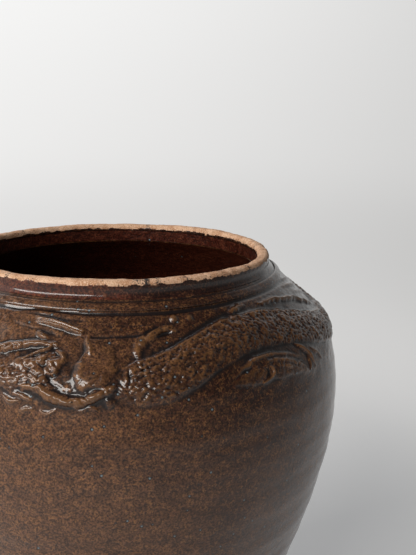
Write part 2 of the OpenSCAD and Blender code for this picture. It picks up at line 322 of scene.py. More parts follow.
def glaze(name, dark, light, web, pits, worn):
    """The iron glaze: a fine golden net on dark brown, paler in soft patches where the fire reached it,
    with painted window light in the patches on the front left, thin and golden on edges, thick and near
    black in hollows."""
    finish, tree, surface, place = new_finish(name)
    cloud = patches(tree, place, 34, stretch=(1, 1, 2.2), detail=3)
    mottle = patches(tree, place, 5, stretch=(1, 1, 1.5), detail=4, rough=0.6)
    grain = patches(tree, place, 1.2, detail=2, rough=0.6)
    # Pale patches from the tone attribute: those on the front left are painted window light and sheen.
    tone_and_painted_light = node_of(tree, "ShaderNodeAttribute", attribute_name="tone_and_painted_light").outputs["Fac"]
    body = blended(tree, ramp(tree, reckon(tree, "ADD", cloud, tone_and_painted_light), 0.42, 1.45), dark, light)
    net = lines_of(tree, patches(tree, place, 2.8, detail=3, rough=0.6), 0.075)
    winding = reckon(tree, "MULTIPLY", net, ramp(tree, mottle, 0.36, 0.62, 0.1, 0.6))
    body = blended(tree, winding, body, web)
    body = blended(tree, 1.0, body, ramp(tree, mottle, 0.36, 0.62, 0.78, 1.12), "MULTIPLY")
    body = blended(tree, 1.0, body, ramp(tree, grain, 0.34, 0.66, 0.36, 1.55), "MULTIPLY")
    pool = node_of(tree, "ShaderNodeAttribute", attribute_name="pool").outputs["Fac"]
    body = blended(tree, ramp(tree, pool, 0.02, 0.45, 0, worn), body, web)
    body = blended(tree, ramp(tree, pool, -0.03, -0.38, 0, 0.95), body, (0.008, 0.005, 0.005))
    spots = specks(tree, place, 3.0, 1.0, 0.25, 5)
    body = blended(tree, reckon(tree, "MULTIPLY", spots, 0.85), body, (0.008, 0.006, 0.006))
    ring = specks(tree, place, 6.5, 2.2, pits, 9)
    body = blended(tree, reckon(tree, "MULTIPLY", ring, 0.85), body, (0.010, 0.008, 0.009))
    # Painted glints: each pit gets a pale bluish centre that stands in for light caught in it. The dark
    # ring and the dents are the real pit.
    pale = specks(tree, place, 6.5, 1.3, pits, 9)
    body = blended(tree, reckon(tree, "MULTIPLY", pale, 0.85), body, (0.16, 0.20, 0.22))
    link(tree, body, surface.inputs["Base Color"])
    link(tree, ramp(tree, mottle, 0.3, 0.7, 0.34, 0.48), surface.inputs["Roughness"])
    surface.inputs["Specular IOR Level"].default_value = 0.1
    surface.inputs["Coat Weight"].default_value = 0.65
    surface.inputs["Coat Roughness"].default_value = 0.09
    bumped(tree, surface, [(grain, 0.30), (mottle, 0.5), (ring, -0.2), (spots, -0.25)])
    return finish


wall_glaze = glaze("brown_wall_glaze", (0.025, 0.0065, 0.0030), (0.096, 0.043, 0.022),
                   (0.18, 0.082, 0.028), 0.4, 0.5)
inside_glaze = glaze("red_brown_inside_glaze", (0.034, 0.007, 0.004), (0.070, 0.016, 0.008),
                     (0.11, 0.034, 0.016), 0.15, 0.3)
spots_of, wall_rings = {}, {}


def inner_point(angle, height):
    """Points on the inside of the wall, with the deeper finger rings left there."""
    radius = wall_radius(height) - wall_thickness * np.hypot(1, wall_lean(height))
    radius = radius + 0.35 * np.sin(height / 2.6 + clay_noise(angle, height, 50, 21))
    turn = np.radians(angle)
    return np.stack(np.broadcast_arrays(radius * np.sin(turn), -radius * np.cos(turn), height), -1)


def wall_piece(name, node, turns, low, high, inner_low, inner_high, step):
    """A section of wall between two joints, each joint climbing from its outer to its inner height."""
    angle = np.arange(turns)[None] * 360 / turns
    count = max(2, round((high - low) / step))
    heights = low + (high - low) * np.arange(-1, count + 2)[:, None] / count
    ground = unevenness(angle, heights)
    count = max(2, round((inner_high - inner_low) / 3))
    inner_heights = inner_high + (inner_low - inner_high) * np.arange(-1, count + 2)[:, None] / count
    inside = inner_point(angle, inner_heights)
    piece = ring_piece(name, [wall_point(angle, heights, ground), inside], node,
                       [wall_glaze, inside_glaze])
    wall_rings[name] = (piece, angle, heights, ground, inside)
    spots_of[name] = (piece, *np.broadcast_arrays(angle, down_at(heights[1:-1])))
    return piece


# The relief is laid out on a sheet rolled round the shoulder.
# Angle runs one way on it, and distance down the wall runs the other.
SHEET_START, ANGLE_STEP, DOWN_STEP, SHEET_DOWN = -60.0, 0.2, 0.4, 92.0
HALF_TURN = round(180 / ANGLE_STEP)
sheet_angle = np.arange(2 * HALF_TURN)[None] * ANGLE_STEP + SHEET_START
sheet_down = np.arange(0, SHEET_DOWN, DOWN_STEP)[:, None]
line_heights = np.arange(root_height + 4, root_height - 330, -0.25)
line_down = np.r_[0, np.cumsum(np.hypot(0.25, np.diff(wall_radius(line_heights))))]
line_down += 3 - np.interp(-root_height, -line_heights, line_down)


def down_at(height):
    """Distance down the outside of the wall at a height. The neck's root lies 3 mm down."""
    return np.interp(-height, -line_heights, line_down)


def height_at(down):
    return np.interp(down, line_down, line_heights)


degree_length = np.radians(wall_radius(height_at(sheet_down))) * np.ones_like(sheet_angle)


def from_sheet(field, angle, down):
    """The sheet's value at any angle and distance down."""
    x = ((angle - SHEET_START) / ANGLE_STEP) % (2 * HALF_TURN)
    y = np.clip(down / DOWN_STEP, 0, len(sheet_down) - 1.001)
    column, row = np.floor(x).astype(int), np.floor(y).astype(int)
    fx, fy = x - column, y - row
    after = (column + 1) % (2 * HALF_TURN)
    column = column % (2 * HALF_TURN)
    top = field[row, column] * (1 - fx) + field[row, after] * fx
    return top * (1 - fy) + (field[row + 1, column] * (1 - fx) + field[row + 1, after] * fx) * fy


def smooth_line(points, parts=5):
    """A smooth curve through the points."""
    p = np.array(points, float)
    q = np.vstack([p[:1], p, p[-1:]])
    share = (np.arange(parts) / parts)[:, None]
    made = [
        0.5 * (2 * b + (c - a) * share + (2 * a - 5 * b + 4 * c - d) * share ** 2
               + (3 * b - a - 3 * c + d) * share ** 3)
        for a, b, c, d in zip(q[:-3], q[1:-2], q[2:-1], q[3:])
    ]
    return np.vstack([*made, p[-1:]])


def near_line(points, reach):
    """What lies near a smooth line of (angle, down, half width, height) points on the sheet.

    Gives the window, and in it the distance across and along the line, and the line's width and height.
    """
    path = smooth_line(points)
    far = path[:, 2].max() + reach
    columns = slice(max(0, int((path[:, 0].min() - far / 1.8 - SHEET_START) / ANGLE_STEP)),
                    int((path[:, 0].max() + far / 1.8 - SHEET_START) / ANGLE_STEP) + 2)
    rows = slice(max(0, int((path[:, 1].min() - far) / DOWN_STEP)),
                 int((path[:, 1].max() + far) / DOWN_STEP) + 2)
    angle, down, scale = sheet_angle[:, columns], sheet_down[rows], degree_length[rows, columns]
    shape = (down.shape[0], angle.shape[1])
    across, run, wide, high = np.full(shape, 99.0), np.zeros(shape), np.ones(shape), np.zeros(shape)
    gone = 0.0
    for p, q in zip(path[:-1], path[1:]):
        x, y = (angle - p[0]) * scale, down - p[1]
        dx, dy = (q[0] - p[0]) * scale, q[1] - p[1]
        share = np.clip((x * dx + y * dy) / np.maximum(dx * dx + dy * dy, 1e-9), 0, 1)
        distance = np.hypot(x - share * dx, y - share * dy)
        length = np.hypot(dx.mean(), dy)
        closer = distance < np.abs(across)
        across = np.where(closer, distance * np.where(dx * y - dy * x < 0, -1, 1), across)
        run = np.where(closer, gone + share * length, run)
        wide = np.where(closer, p[2] + share * (q[2] - p[2]), wide)
        high = np.where(closer, p[3] + share * (q[3] - p[3]), high)
        gone += length
    return (rows, columns), across, run, wide, high


def roll_on(field, points, round_off=1.4):
    """A roll of clay laid on along a line, rounded across, with its edges wiped out on to the wall."""
    window, across, run, wide, high = near_line(points, 1)
    field[window] = np.maximum(field[window], high * np.clip(1 - (across / wide) ** 2, 0, 1) ** round_off)


def swell(field, points, round_off=1.4):
    """A softer roll that adds to what is already there."""
    window, across, run, wide, high = near_line(points, 1)
    field[window] += high * np.clip(1 - (across / wide) ** 2, 0, 1) ** round_off


def button_on(field, angle, down, radius, height, round_off=1.0):
    roll_on(field, [(angle - 0.05, down, radius, height), (angle + 0.05, down, radius, height)], round_off)


def score(field, points):
    """A groove drawn with a stick along a line. Its half width and depth are given as for a roll."""
    swell(field, [(angle, down, wide, -deep) for angle, down, wide, deep in points])


def blank_sheet():
    return np.zeros(degree_length.shape)


wall_piece("lower_thrown_wall", "lower_wall", 480, floor_top, seam_height,
           floor_top, seam_height + joint_climb, 3)


# Belly and shoulder walls
# The upper sections turn in from the widest point and slope up to the neck. On the shoulder, the slip
# and the modelling tool left streaks, hollows and scored lines between the pieces of relief.
marks = blank_sheet()
score(marks, [(a, 12.6 + 0.5 * np.sin(np.radians(a * 5)) - 1.8 * np.exp(-((a + 15) / 5) ** 2), 1.5, 0.8)
              for a in range(-47, 134, 6)])
for scored in (
    [(-24, 15.4, 1.2, 0.3), (-19, 14, 1.6, 0.5), (-14, 15, 1.6, 0.6), (-9, 16.8, 1.6, 0.5),
     (-3, 17.4, 1.2, 0.3)],
    [(-24, 21, 1.3, 0.3), (-20, 23, 1.5, 0.5), (-15, 24.6, 1.3, 0.4), (-9, 28, 1.2, 0.3)],
    [(-2, 27.8, 1.2, 0.5), (6, 27.2, 1.5, 0.8), (12, 26.8, 1.2, 0.6)],
    [(2, 19.6, 1, 0.3), (9, 20.6, 1.2, 0.4), (15, 20, 1, 0.3)],
    [(13, 28.4, 1, 0.7), (13.6, 25, 1.4, 1.0), (16, 23, 1.3, 1.0), (19, 22.4, 1, 0.6)],
    [(16.6, 28, 1.3, 0.7), (18.4, 26.6, 2, 1.1), (20, 25.4, 1.2, 0.6)],
    [(17.6, 37.6, 1.6, 0.2), (21, 33.6, 2.2, 0.4), (25, 28.8, 2.6, 0.6), (30, 24, 2.6, 0.7),
     (35, 20.4, 2.4, 0.6), (40.4, 18, 1.4, 0.4)],
    [(8.4, 48, 1, 0.6), (8.6, 53, 1.4, 1.1), (8.2, 58, 1, 0.7)],
    [(8.6, 52, 0.9, 0.5), (12, 48.6, 1.1, 0.9), (15.4, 45.6, 0.8, 0.5)],
    [(9, 55.4, 0.8, 0.4), (12.4, 52, 1, 0.7), (16, 49.6, 0.8, 0.4)],
    [(95, 20, 1.2, 0.4), (103, 18.4, 1.5, 0.5), (112, 20, 1.2, 0.4)],
    [(88, 66, 1.2, 0.4), (97, 68, 1.5, 0.5), (106, 63, 1.2, 0.4)],
):
    score(marks, scored)
for trail in (
    [(70, 9.4, 1.2, 0.2), (78, 11, 2, 0.9), (86, 14.6, 1.8, 1), (93, 19, 1, 0.3)],
    [(74, 15.6, 1.2, 0.2), (81, 18.4, 2.2, 1.1), (88, 22.4, 2.2, 1.2), (96, 28, 1.2, 0.4)],
    [(80, 24.4, 1.2, 0.2), (86, 27.6, 2, 0.9), (93, 33, 2, 1), (99, 38, 1, 0.3)],
):
    swell(marks, trail)
marks += np.roll(marks, HALF_TURN, 1)
crumbly = blank_sheet()
swell(crumbly, [(-24, 48, 16, 0.7), (-12, 50, 18, 1), (-4, 62, 10, 0.8), (6, 64, 9, 0.9), (12, 50, 20, 1),
                (22, 46, 15, 0.9), (32, 38, 13, 0.7), (44, 34, 13, 0.6), (60, 40, 13, 0.6),
                (74, 50, 12, 0.6)], 0.8)
crumbly = np.clip(crumbly + np.roll(crumbly, HALF_TURN, 1), 0, 1)
band = np.clip((sheet_down - 12) / 5, 0, 1) * np.clip((80 - sheet_down) / 8, 0, 1)


def winding_noise(cell, seed):
    """Noise on the sheet, pulled about so that its lumps wind."""
    pulled = 0.8 * cell * clay_noise(sheet_angle, sheet_down, 2 * cell, seed + 1)
    drawn = 0.8 * cell * clay_noise(sheet_angle, sheet_down, 2 * cell, seed + 2)
    return clay_noise(sheet_angle + pulled / 2.3, 100 + sheet_down + drawn, cell, seed)


def lumpy(cell, seed):
    """Rounded lumps with creases between them, from 0 to 1."""
    return np.minimum(1, 2 * np.abs(winding_noise(cell, seed))) ** 0.6


marks += band * (0.22 * winding_noise(9, 33) + 0.12 * winding_noise(3, 34))
marks += crumbly * (0.55 * lumpy(3.4, 31) + 0.25 * lumpy(1.8, 36) - 0.5)

wall_piece("belly_thrown_wall", "belly_wall", 900, seam_height, shoulder_low,
           seam_height + joint_climb, shoulder_low + joint_climb, 1.2)
throat_radius = 97.0
throat_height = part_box("neck_collar")[0].z / MM
wall_piece("shoulder_thrown_wall", "shoulder_wall", 900, shoulder_low, root_height,
           shoulder_low + joint_climb, throat_height, 0.6)


# Neck
# A short upright collar thrown on top of the shoulder, with a hollow fillet wiped in round its root.
# The same glaze covers it, thick and dark red-brown, up to a ragged line just under the lip.
neck_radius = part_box("rim_coil")[1].x / MM
lip_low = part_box("rim_coil")[0].z / MM
neck_glaze = glaze("dark_red_neck_glaze", (0.014, 0.0045, 0.003), (0.10, 0.024, 0.012),
                   (0.12, 0.05, 0.022), 0.16, 0.6)


def round_ring(radius, height, angle):
    """Points at a radius and height, either of which may change round the ring."""
    turn = np.radians(angle)
    return np.stack(np.broadcast_arrays(radius * np.sin(turn), -radius * np.cos(turn), height), -1)


def lip_drift(angle):
    """How far the neck and lip wander from a true circle, and up and down."""
    turn = np.radians(angle)
    out = 0.45 * np.sin(2 * turn + 0.6) + 0.25 * np.sin(5 * turn + 2) + 0.15 * np.sin(11 * turn)
    return out, 0.30 * np.sin(3 * turn + 1) + 0.18 * np.sin(7 * turn + 2.5) + 0.12 * np.sin(16 * turn + 1)


turns = 900
angle = np.arange(turns)[None] * 360 / turns
out, up = lip_drift(angle)
heights = np.linspace(root_height - 0.35, lip_low + 0.35, 19)[:, None]
fillet_top = root_height + 3.6
fillet = np.clip((fillet_top - heights) / (fillet_top - root_height), 0, 1.1) ** 2
share = np.clip((heights - root_height) / (lip_low - root_height), -0.1, 1.1)
root_out = unevenness(angle, np.full_like(heights, root_height))
radius = neck_radius + (wall_radius(root_height) - neck_radius) * fillet
radius = radius + root_out * (1 - share) + out * share
radius = radius + 0.12 * clay_noise(angle, heights * 1.5, 7, 41)
radius = radius - 0.25 * np.sin(np.clip(share, 0, 1) * np.pi)
inside = np.linspace(lip_low + 1, throat_height - 1, 8)[:, None]
throat = throat_radius + out * np.clip((inside - throat_height) / (lip_low - throat_height), 0, 1)
neck_ring = ring_piece("neck_ring", [round_ring(radius, heights, angle), round_ring(throat, inside, angle)],
                       "neck_collar", [neck_glaze, inside_glaze])


# Lip
# A coil of clay squeezed on to the neck and wiped round. The jars were stacked mouth to mouth in the
# kiln, so it was left without glaze, and it has knocks, burnt specks and a wandering inner edge.
rim_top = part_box("rim_coil")[1].z / MM
turns = 1440
angle = np.arange(turns)[None] * 360 / turns
out, up = lip_drift(angle)
middle, half, tall = (neck_radius + throat_radius) / 2, (neck_radius - throat_radius) / 2, rim_top - lip_low
around = np.radians(np.linspace(-6, 186, 33))[:, None]
across = np.sign(np.cos(around)) * np.abs(np.cos(around)) ** 0.72
rise = np.sign(np.sin(around)) * np.abs(np.sin(around)) ** 0.72
rough = 0.13 * clay_noise(angle, 40 + 7 * across + 5 * rise, 2.4, 51)
rough = rough + 0.16 * clay_noise(angle, 90 + 9 * across, 6, 52)
knocks = np.zeros_like(rough)
for at, reach, depth, side in (
    (15, 2.6, 1.3, -0.7), (19, 1.4, 0.9, -0.9), (21.5, 1.0, 0.7, -0.4), (11, 1.2, 0.6, -0.9),
    (29, 1.6, 0.7, 0.3), (44, 2.2, 0.8, -0.8), (-22, 1.8, 0.7, -0.8), (63, 1.6, 0.6, -0.6),
    (96, 2.4, 0.9, 0.6), (141, 1.8, 0.8, -0.7), (188, 2.2, 1.0, 0.7), (214, 1.4, 0.7, -0.7),
    (251, 2.0, 0.9, 0.5), (287, 1.6, 0.7, -0.6), (322, 2.4, 0.8, 0.2),
):
    apart = (angle - at + 180) % 360 - 180
    knock = depth * np.exp(-(apart / reach) ** 2 - ((across - side) / 0.35) ** 2)
    knocks += knock * (1 + 0.6 * rough / 0.2)
wider = 0.35 * np.exp(-(((angle - 45 + 180) % 360 - 180) / 12) ** 2)
lip_radius = middle + out + across * (half + rough * 0.6 - knocks * 0.5 + wider)
lip_height = lip_low + np.maximum(rise, -0.02) * (tall - 0.45)
lip_height = lip_height + (up + rough - knocks * 0.8) * np.clip(rise * 1.5, 0, 1)
lip_skin = round_ring(lip_radius, lip_height, angle)
base = np.linspace(-1.03, 1.03, 6)[:, None]
under = round_ring(middle + out + base * half, np.full_like(base, lip_low), angle)
rim_coil = ring_piece("bare_lip", [lip_skin, under], "rim_coil", [bare_clay, neck_glaze])
middles = (lip_height[1:-2] + lip_height[2:-1]) / 2
outside = np.broadcast_to(across[1:-2] > 0, middles.shape)
glaze_line = lip_low + np.where(outside, 1.9, 1.3) + 0.7 * clay_noise(angle, 200 + 0 * middles, 5, 53)
glaze_line = glaze_line + 0.4 * clay_noise(angle, 230 + middles, 1.6, 54) - 1.4 * (knocks[1:-2] > 0.4)
glazed = np.ones((len(rim_coil.data.polygons) // turns, turns), np.int32)
glazed[:len(middles)] = middles < glaze_line
rim_coil.data.polygons.foreach_set("material_index", glazed.ravel())
burn = np.zeros(turns)
for at, reach in (
    (12, 2.5), (15.5, 1.6), (19, 2), (29, 3), (-33, 2), (44, 3), (58, 2.5), (100, 3), (172, 2),
    (233, 3), (301, 2),
):
    burn += 0.48 * np.exp(-(((angle[0] - at + 180) % 360 - 180) / reach) ** 2)
scorched = rim_coil.data.attributes.new("scorch", "FLOAT", "POINT")
burn = np.broadcast_to(burn, (len(rim_coil.data.vertices) // turns, turns))
scorched.data.foreach_set("value", burn.astype(np.float32).ravel())


# Cordon
# A thin coil pressed flat round the top of the shoulder, just under the neck.
# Its upper edge is sharp and its lower edge is scored off, and the glaze has thinned along its crest.
turns = 900
angle = np.arange(turns)[None] * 360 / turns
cordon_middle, cordon_half, cordon_high = 8.0, 3.0, 1.3
side = np.linspace(1.04, -1.04, 17)[:, None]
down = cordon_middle + cordon_half * side + 0.3 * np.sin(np.radians(angle * 4 + 40))
crown = cordon_high * np.clip(1 - side ** 4, 0, 1) ** 0.6
crown = crown + (0.16 * clay_noise(angle, down * 3, 8, 61)) * (1 - side ** 2)
crown = np.where(np.abs(side) > 0.98, -0.5, crown * (1 + 0.12 * clay_noise(angle, down, 25, 62)))
heights = height_at(down)
back = np.linspace(-1, 1, 6)[:, None]
back_heights = height_at(cordon_middle + cordon_half * back + 0.3 * np.sin(np.radians(angle * 4 + 40)))
cordon = ring_piece("shoulder_cordon_coil", [
    wall_point(angle, heights, crown + unevenness(angle, heights)),
    wall_point(angle, back_heights, unevenness(angle, back_heights) - 0.9),
], "shoulder_cordon", [wall_glaze])


# Dragon heads
# Two dragons run round the shoulder, each modelled from pieces of clay pressed on with slip.
# The head is a long snout with a lumpy, bearded cheek, and a smooth swelling behind the mouth.
THIN_EDGE, PROUD, BURIED = 0.06, 0.04, 0.8
relief, laid_pieces = blank_sheet(), {}


def pressed_on(name, rise, hand=0.35):
    """One piece of relief for each dragon, from its height over the wall. No two came out the same."""
    for dragon, turned, seed in (("front", 0, 70), ("rear", 180, 71)):
        aside, up = (
            hand * (clay_noise(sheet_angle, sheet_down, 5, draw)
                    + 0.5 * clay_noise(sheet_angle, sheet_down, 2.5, draw + 4))
            for draw in (seed, seed + 2))
        if dragon == "rear":
            aside = aside + 1.4 * hand * clay_noise(sheet_angle, sheet_down, 24, seed + 8)
        laid = from_sheet(rise, sheet_angle + aside, sheet_down + 2.4 * up)
        np.maximum(relief, np.roll(laid, HALF_TURN * (turned // 180), 1), out=relief)
        rows, columns = np.nonzero(laid > THIN_EDGE)
        rows = slice(max(rows.min() - 2, 0), rows.max() + 3)
        columns = slice(columns.min() - 2, columns.max() + 3)
        window = laid[rows, columns]
        shown = window > THIN_EDGE
        full = shown[:-1, :-1] | shown[1:, :-1] | shown[:-1, 1:] | shown[1:, 1:]
        down = np.broadcast_to(sheet_down[rows], window.shape)
        angle = np.broadcast_to(sheet_angle[:, columns] + turned, window.shape)
        count = window.size
        at = np.arange(count).reshape(window.shape)
        crown = np.stack([c[full] for c in (at[1:, :-1], at[1:, 1:], at[:-1, 1:], at[:-1, :-1])], 1)
        padded, sides = np.pad(full, 1), []
        for (row, column), first, second in (((1, 0), (1, 0), (1, 1)), ((-1, 0), (0, 1), (0, 0)),
                                             ((0, 1), (1, 1), (0, 1)), ((0, -1), (0, 0), (1, 0))):
            beside = padded[1 + row:1 + row + full.shape[0], 1 + column:1 + column + full.shape[1]]
            i, j = np.nonzero(full & ~beside)
            a, b = at[i + first[0], j + first[1]], at[i + second[0], j + second[1]]
            sides.append(np.stack([a + count, b + count, b, a], 1))
        quads = np.concatenate([crown, crown[:, ::-1] + count, *sides])
        used, packed = np.unique(quads, return_inverse=True)
        quads = packed.reshape(quads.shape)
        on_top = used < count
        angle, down, window = (np.tile(v.ravel(), 2)[used] for v in (angle, down, window))
        points = wall_point(angle, height_at(down), np.where(on_top, window, -BURIED))
        piece = new_piece(f"{dragon}_dragon_{name}", points, quads, None, f"{dragon}_{name}",
                          [wall_glaze])
        laid_pieces[piece.name] = (piece, quads, len(crown), angle, down, window, on_top)
        spots_of[piece.name] = (piece, angle, down)


head = blank_sheet()
swell(head, [(-33, 51, 4, 0.6), (-27, 50, 9, 1.5), (-20, 49.6, 12, 1.7), (-13.5, 49, 12, 1.5),
             (-9, 47, 7, 0.8)])
fur = blank_sheet()
swell(fur, [(-27, 53, 6, 0.7), (-19, 56.6, 7, 1), (-13.5, 56, 7, 1), (-8.8, 58, 4, 0.8)], 0.5)
swell(fur, [(-14.6, 45, 3, 0.4), (-11, 45, 7, 1), (-8, 45, 7, 1), (-7, 50, 3.5, 0.8)], 0.5)
head += fur * (1.5 * lumpy(4.4, 91) + 0.8 * lumpy(2.2, 95) - 0.5)
swell(head, [(-1.6, 28, 2, 0.6), (0.2, 34, 7, 1.3), (1.6, 42, 13, 2), (1.2, 49, 13.5, 2.4),
             (-0.8, 56, 9, 2), (-1.8, 61, 3, 0.7)], 0.9)
swell(head, [(-2, 29, 1.2, 0.6), (-1.2, 33.4, 2.6, 1.4), (-0.3, 38.6, 1, 0.5)])
swell(head, [(-17.4, 47.4, 2, 0.5), (-14.4, 45.6, 4, 0.9), (-11.6, 42.4, 3, 0.6)], 0.9)
score(head, [(-2.2, 35, 1.6, 0.9), (-3.2, 39, 2.6, 1.9), (-4.6, 44, 3, 2.3), (-6.2, 49.6, 3, 2.3),
             (-7.6, 54.4, 2.6, 1.9), (-6, 58, 2.4, 1.4), (-2, 60.6, 2, 0.8), (2, 58, 1.4, 0.5)])
for ending in (-3, 0.6, 3.6):
    score(head, [(ending, 57, 0.7, 0.3), (ending + 1.4, 53, 1, 0.5), (ending + 2.4, 49, 0.7, 0.3)])
head *= 1 - 0.6 * np.clip((sheet_angle - 5.1) / 0.6, 0, 1)
head = np.maximum(head, 0)
pressed_on("head", head)


# Brows, horns and ears
# Thin rolls pressed along the head: a rough brow over the eye, a forked horn that streams back from it
# with a stud below, and a sharp-edged ear folded back over the cheek.
brow = blank_sheet()
roll_on(brow, [(-27, 44.6, 1.4, 0.8), (-23.8, 41, 4.4, 2.0), (-20.6, 38, 3.8, 1.9), (-17.4, 34.8, 3.0, 1.7),
               (-13.6, 33.2, 2.2, 1.4), (-9, 33, 1.2, 0.7)], 0.8)
brow *= 0.6 + 0.9 * lumpy(3.6, 101)
pressed_on("brow", brow)

horns = blank_sheet()
roll_on(horns, [(-17, 16.2, 1, 0.7), (-13, 17.5, 1.6, 1.8), (-8, 20.2, 1.6, 1.9), (-3.0, 23.8, 1.2, 0.9)])
roll_on(horns, [(-16.5, 18.6, 1, 0.7), (-12, 20.0, 1.5, 1.7), (-7.5, 22.4, 1.5, 1.8),
                (-3.4, 25.4, 1.1, 0.9)])
roll_on(horns, [(-14.6, 26.8, 2.0, 1.3), (-13.2, 28.4, 2.4, 1.8), (-12.2, 29.6, 1.6, 1.2)])
pressed_on("horns", horns, 0.15)

ear = blank_sheet()
roll_on(ear, [(-10.0, 32.6, 0.9, 0.8), (-10.9, 36, 1.3, 1.7), (-12.6, 38.2, 1.5, 2.1),
              (-14.4, 40.4, 1.5, 2.2), (-16.2, 43.6, 1.5, 2.3), (-18, 47, 1.4, 2.2),
              (-20, 50.4, 1.3, 1.8), (-22.4, 52.6, 1.0, 0.9)], 1.2)
pressed_on("ear", ear, 0.15)


# Jaws and manes
# The lower jaw is one roll that curls under the mouth.
# The mane is made of small locks curled in the fingers.
jaw = blank_sheet()
roll_on(jaw, [(-17, 60, 1.4, 0.8), (-13, 58.6, 2.8, 1.7), (-10.2, 60.4, 3.4, 2.2), (-7.4, 64, 3.2, 2.2),
              (-3.4, 66, 3, 2.1), (0, 65, 3, 2.2), (2.6, 60.8, 3.4, 2.2), (5.4, 57.4, 2.2, 1.2)], 0.9)
jaw *= 0.7 + 0.6 * lumpy(3.4, 105)
pressed_on("jaw", jaw)

mane = blank_sheet()
roll_on(mane, [(-9, 36.6, 1.1, 0.9), (-7.3, 38.8, 1.9, 2.0), (-6.5, 42.4, 1.9, 2.1),
               (-7.2, 45.2, 1.2, 1.3)])
roll_on(mane, [(-10.8, 41.4, 1.1, 1), (-9.2, 43.6, 1.8, 2.0), (-9.8, 46.6, 1, 1.2)])
curl = np.radians(np.arange(0, 300, 40))
roll_on(mane, [(-8.6 + 0.9 * np.sin(a), 49.2 - 1.9 * np.cos(a), 1.2, 2.2 + 0.5 * np.sin(a)) for a in curl])
roll_on(mane, [(-18.8 + 0.9 * np.sin(a), 54.4 - 1.9 * np.cos(a), 1.2, 2.6 + 0.5 * np.cos(a)) for a in curl])
for lock in (
    [(-18.6, 66, 1, 0.7), (-17, 67.4, 1.6, 1.2), (-15, 67.2, 1.1, 0.7)],
    [(-15, 73, 0.9, 0.6), (-13.6, 71.8, 1.4, 1.1), (-12.2, 71.4, 0.8, 0.5)],
    [(-10.6, 71.4, 0.8, 0.6), (-9.2, 72.8, 1.5, 1.1), (-7.6, 71.6, 1.2, 0.9), (-7, 70.4, 0.8, 0.5)],
    [(-17, 63.2, 1.2, 0.8), (-14.8, 64.4, 1.9, 1.2), (-12.6, 66.2, 1.2, 0.8)],
    [(-1.6, 70.2, 0.9, 0.6), (0.4, 69.4, 1.4, 0.9), (2, 69.8, 0.9, 0.5)],
):
    roll_on(mane, lock)
button_on(mane, 4.4, 65.6, 3.4, 1.0)
pressed_on("mane", mane)


# Scaled bodies
# A broad flat roll that arches over the shoulder and down again. The scales were pricked in one by one
# with a pointed stick, in rows across the roll, between a raised back edge and the belly.
body_line = [
    (6.6, 54, 9, 0.2), (10, 55, 13, 1.5), (16, 53.4, 14, 2.4), (22, 47.4, 13.4, 2.8), (28, 40.8, 13, 3),
    (35, 35.6, 12.8, 3), (44, 33, 12.8, 3), (53, 35.2, 12.8, 3), (62, 41, 12.8, 3), (71, 48, 12.4, 3),
    (80, 53.6, 11.8, 2.9), (90, 55.4, 11, 2.8), (99, 51, 10, 2.7), (107, 43.4, 9, 2.6),
    (115, 38.4, 7.8, 2.4), (119, 37.4, 6.6, 2),
]
PRICK_ALONG, PRICK_ASIDE = 2.7, 3.1


def pricks(run, across, seed):
    """Small oval pricks in staggered rows, no two alike, from 0 to 1."""
    deepest = np.zeros(run.shape)
    row = np.floor(run / PRICK_ALONG)
    for step in (-1, 0, 1):
        at_row = row + step
        stagger = 0.5 * (at_row % 2)
        column = np.floor(across / PRICK_ASIDE - stagger)
        for beside in (0, 1):
            at_column = column + beside
            chance, other, third = (
                np.abs(np.sin(at_row * a + at_column * b + seed) * 43758.5) % 1
                for a, b in ((12.9898, 78.233), (39.346, 11.135), (73.156, 52.235)))
            x = run / PRICK_ALONG - at_row - 0.5 - 0.5 * (chance - 0.5)
            y = across / PRICK_ASIDE - stagger - at_column - 0.5 * (other - 0.5)
            tilt = 1.2 * (chance - 0.3)
            x, y = x + tilt * y, y - tilt * x
            size = 0.7 + 0.6 * other
            prick = (0.35 + 0.65 * third) * np.exp(-((x / 0.30) ** 2 + (y / 0.19) ** 2) / size ** 2)
            deepest = np.maximum(deepest, prick)
    return deepest


body = blank_sheet()
roll_on(body, [(angle, down, wide * 1.04, high) for angle, down, wide, high in body_line], 0.75)
window, across, run, wide, high = near_line(body_line, 1)
cover = np.clip((0.95 * wide - np.abs(across)) / 1.5, 0, 1) * np.clip(run / 12, 0, 1)
hide = 0.7 * lumpy(2.9, 111) + 0.4 * lumpy(1.6, 115)
body[window] += cover * (hide[window] - 0.6 - 1.15 * pricks(run, across, 3))
body[window] += cover * 0.7 * np.exp(-((across + wide - 1.9) / 0.9) ** 2)
body = np.maximum(body, 0)
pressed_on("body", body, 0.2)


# Fins, forelegs and back legs
# A long fin along the back, a foreleg raised to the neck with two round studs beside it, the haunch under
# the arch of the body with flames of hair on it, and the claws behind.
back_fin = blank_sheet()
roll_on(back_fin, [(53, 17.6, 1.1, 0.7), (58, 18.2, 2, 1.5), (64, 20.2, 2.2, 2.2), (71, 24, 2.5, 2.5),
                   (78, 31, 2.6, 2.4), (84, 37.4, 1.9, 1.6), (88, 40.2, 1, 0.8)])
roll_on(back_fin, [(40.2, 18.6, 1.6, 1.2), (41.6, 17.6, 2.2, 1.8), (44, 16.2, 1.6, 1.1),
                   (46.6, 15.4, 0.9, 0.6)])
pressed_on("back_fin", back_fin)

